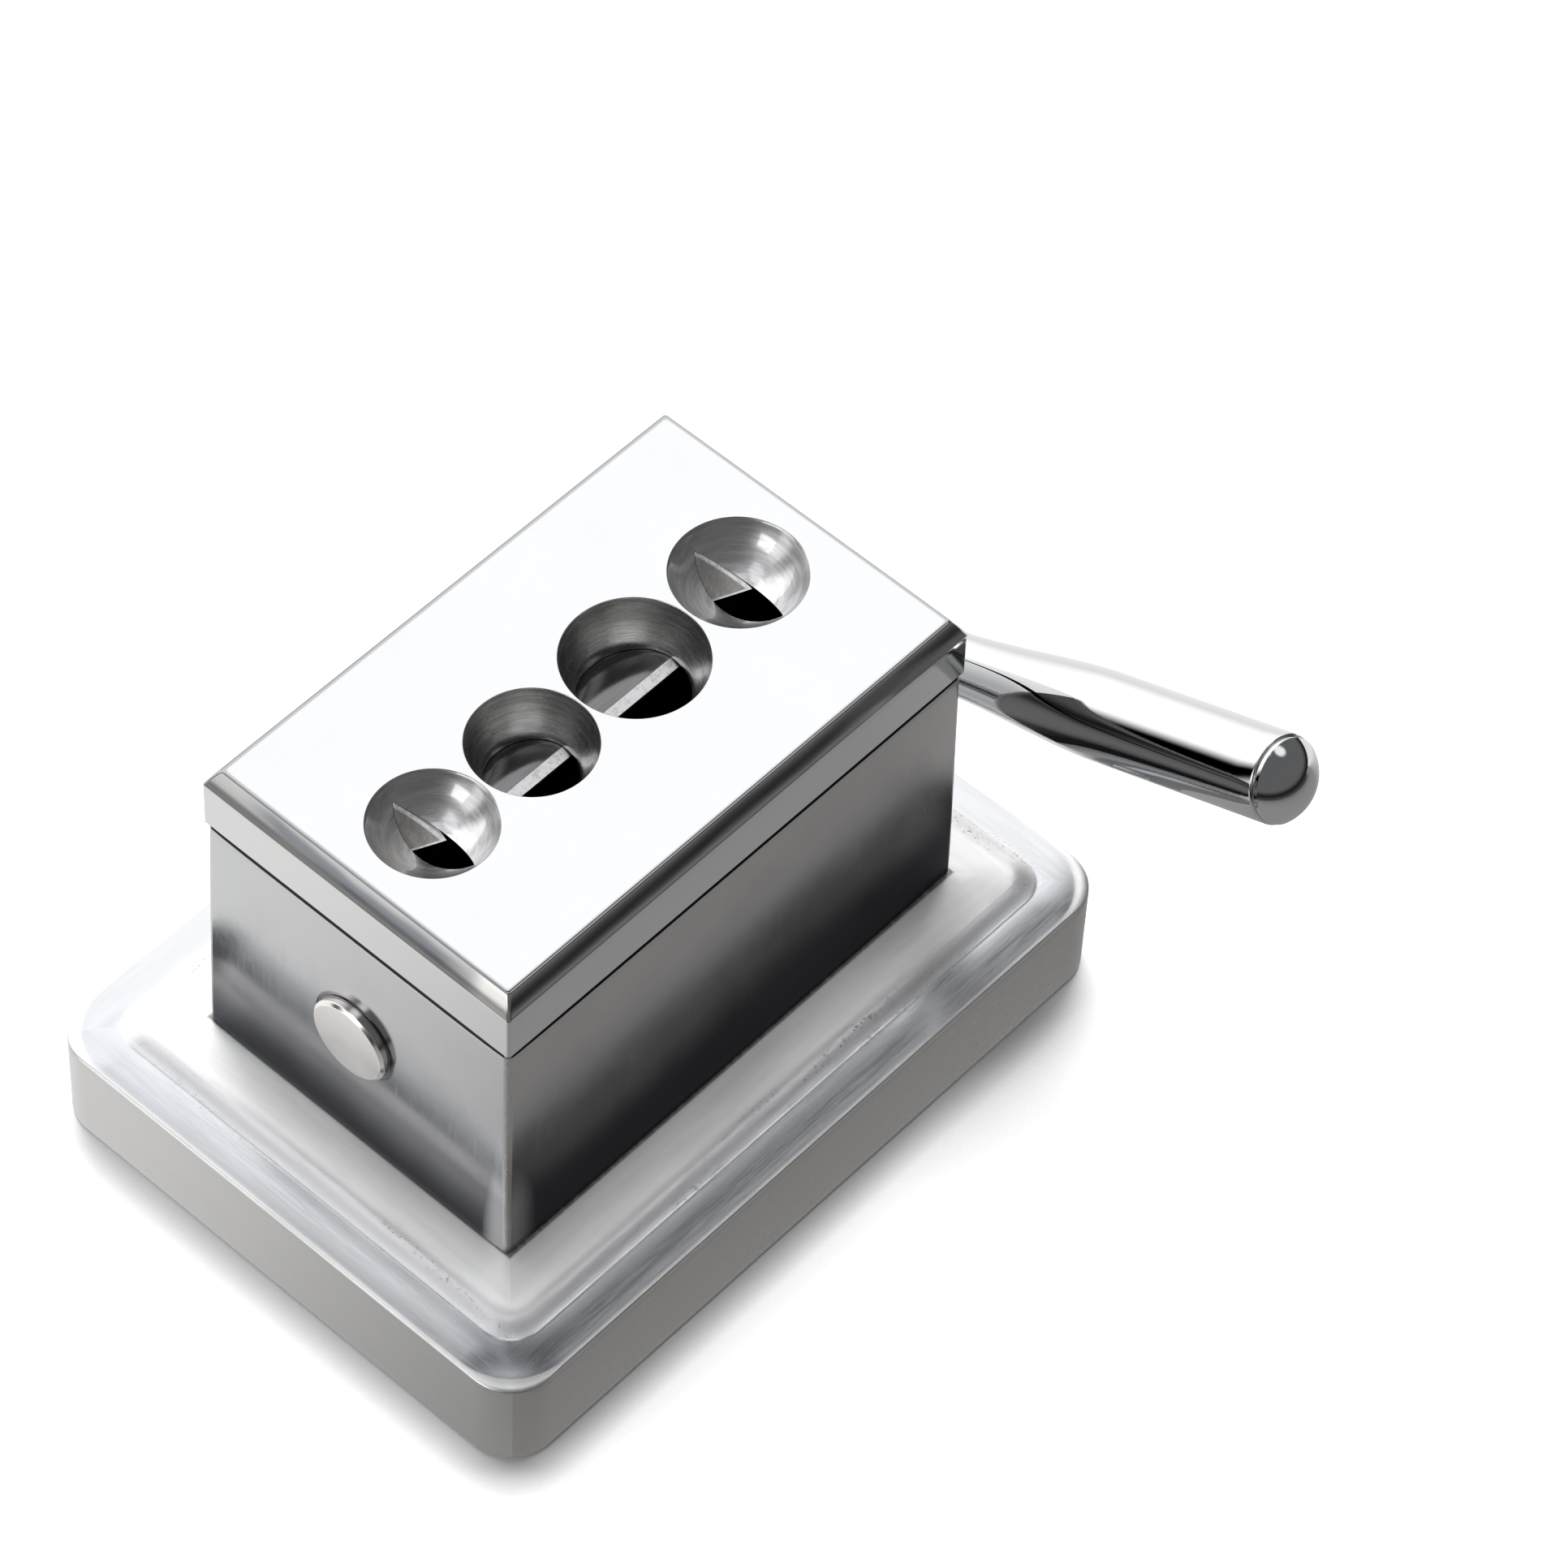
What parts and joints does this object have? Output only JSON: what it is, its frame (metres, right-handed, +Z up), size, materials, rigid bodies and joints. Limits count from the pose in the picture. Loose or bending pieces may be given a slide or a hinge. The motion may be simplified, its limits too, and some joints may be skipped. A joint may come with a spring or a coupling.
{
  "type": "cigar cutter",
  "caption": "Desk-top lever cigar cutter: polished metal box on a stepped base, with V-cut dishes and straight-cut holes in a row and a side lever.",
  "frame": {"origin": "on the table under the middle of the base", "axes": "+Z up, +Y along the row of cutting holes towards the lever's end, +X the side that the lever points to"},
  "size_m": [0.1955, 0.1914, 0.1278],
  "materials": {
    "base_aluminium": "cast and polished, fine brushing, casting pits along the step",
    "pad_rubber": "matt black",
    "cover_aluminium": "brushed sheet",
    "screw_steel": "machined",
    "housing_aluminium": "mirror polished",
    "lid_aluminium": "mirror polished, turned marks in the dishes",
    "bolt_steel": "black oxide",
    "dowel_steel": "ground",
    "bush_bronze": "turned",
    "washer_steel": "ground",
    "washer_nylon": "natural nylon",
    "pin_steel": "ground",
    "bumper_rubber": "matt black",
    "shaft_steel": "ground",
    "cap_aluminium": "polished, bevelled rim",
    "rocker_aluminium": "milled, dark",
    "blade_steel": "ground, bright bevel",
    "lever_chrome": "mirror chrome"
  },
  "bodies": {
    "housing": {"housing": "housing_aluminium", "base": "base_aluminium", "base_pad": "pad_rubber", "base_cover": "cover_aluminium", "cover_screws": "screw_steel", "lid": "lid_aluminium", "tie_bolts": "bolt_steel", "base_dowels": "dowel_steel", "lid_dowels": "dowel_steel", "front_bush": "bush_bronze", "rear_bush": "bush_bronze", "wave_washer": "washer_steel", "thrust_washer": "washer_steel", "hub_washer": "washer_nylon", "stop_pins": "pin_steel", "stop_bumpers": "bumper_rubber"},
    "cutter": {"shaft": "shaft_steel", "pivot_cap": "cap_aluminium", "rocker": "rocker_aluminium", "rocker_set_screws": "bolt_steel", "blade_screws": "screw_steel", "v_blade_small": "blade_steel", "v_blade_large": "blade_steel", "straight_blade_small": "blade_steel", "straight_blade_large": "blade_steel", "lever_hub": "lever_chrome", "hub_set_screw": "bolt_steel", "lever_arm": "lever_chrome", "lever_end_cap": "lever_chrome"}
  },
  "joints": [
    {"name": "lever_pivot", "type": "hinge", "parent": "housing", "child": "cutter", "pos_m": [0, 0, 0.068], "axis": [0, 1, 0], "range_deg": [-22, 18]}
  ]
}
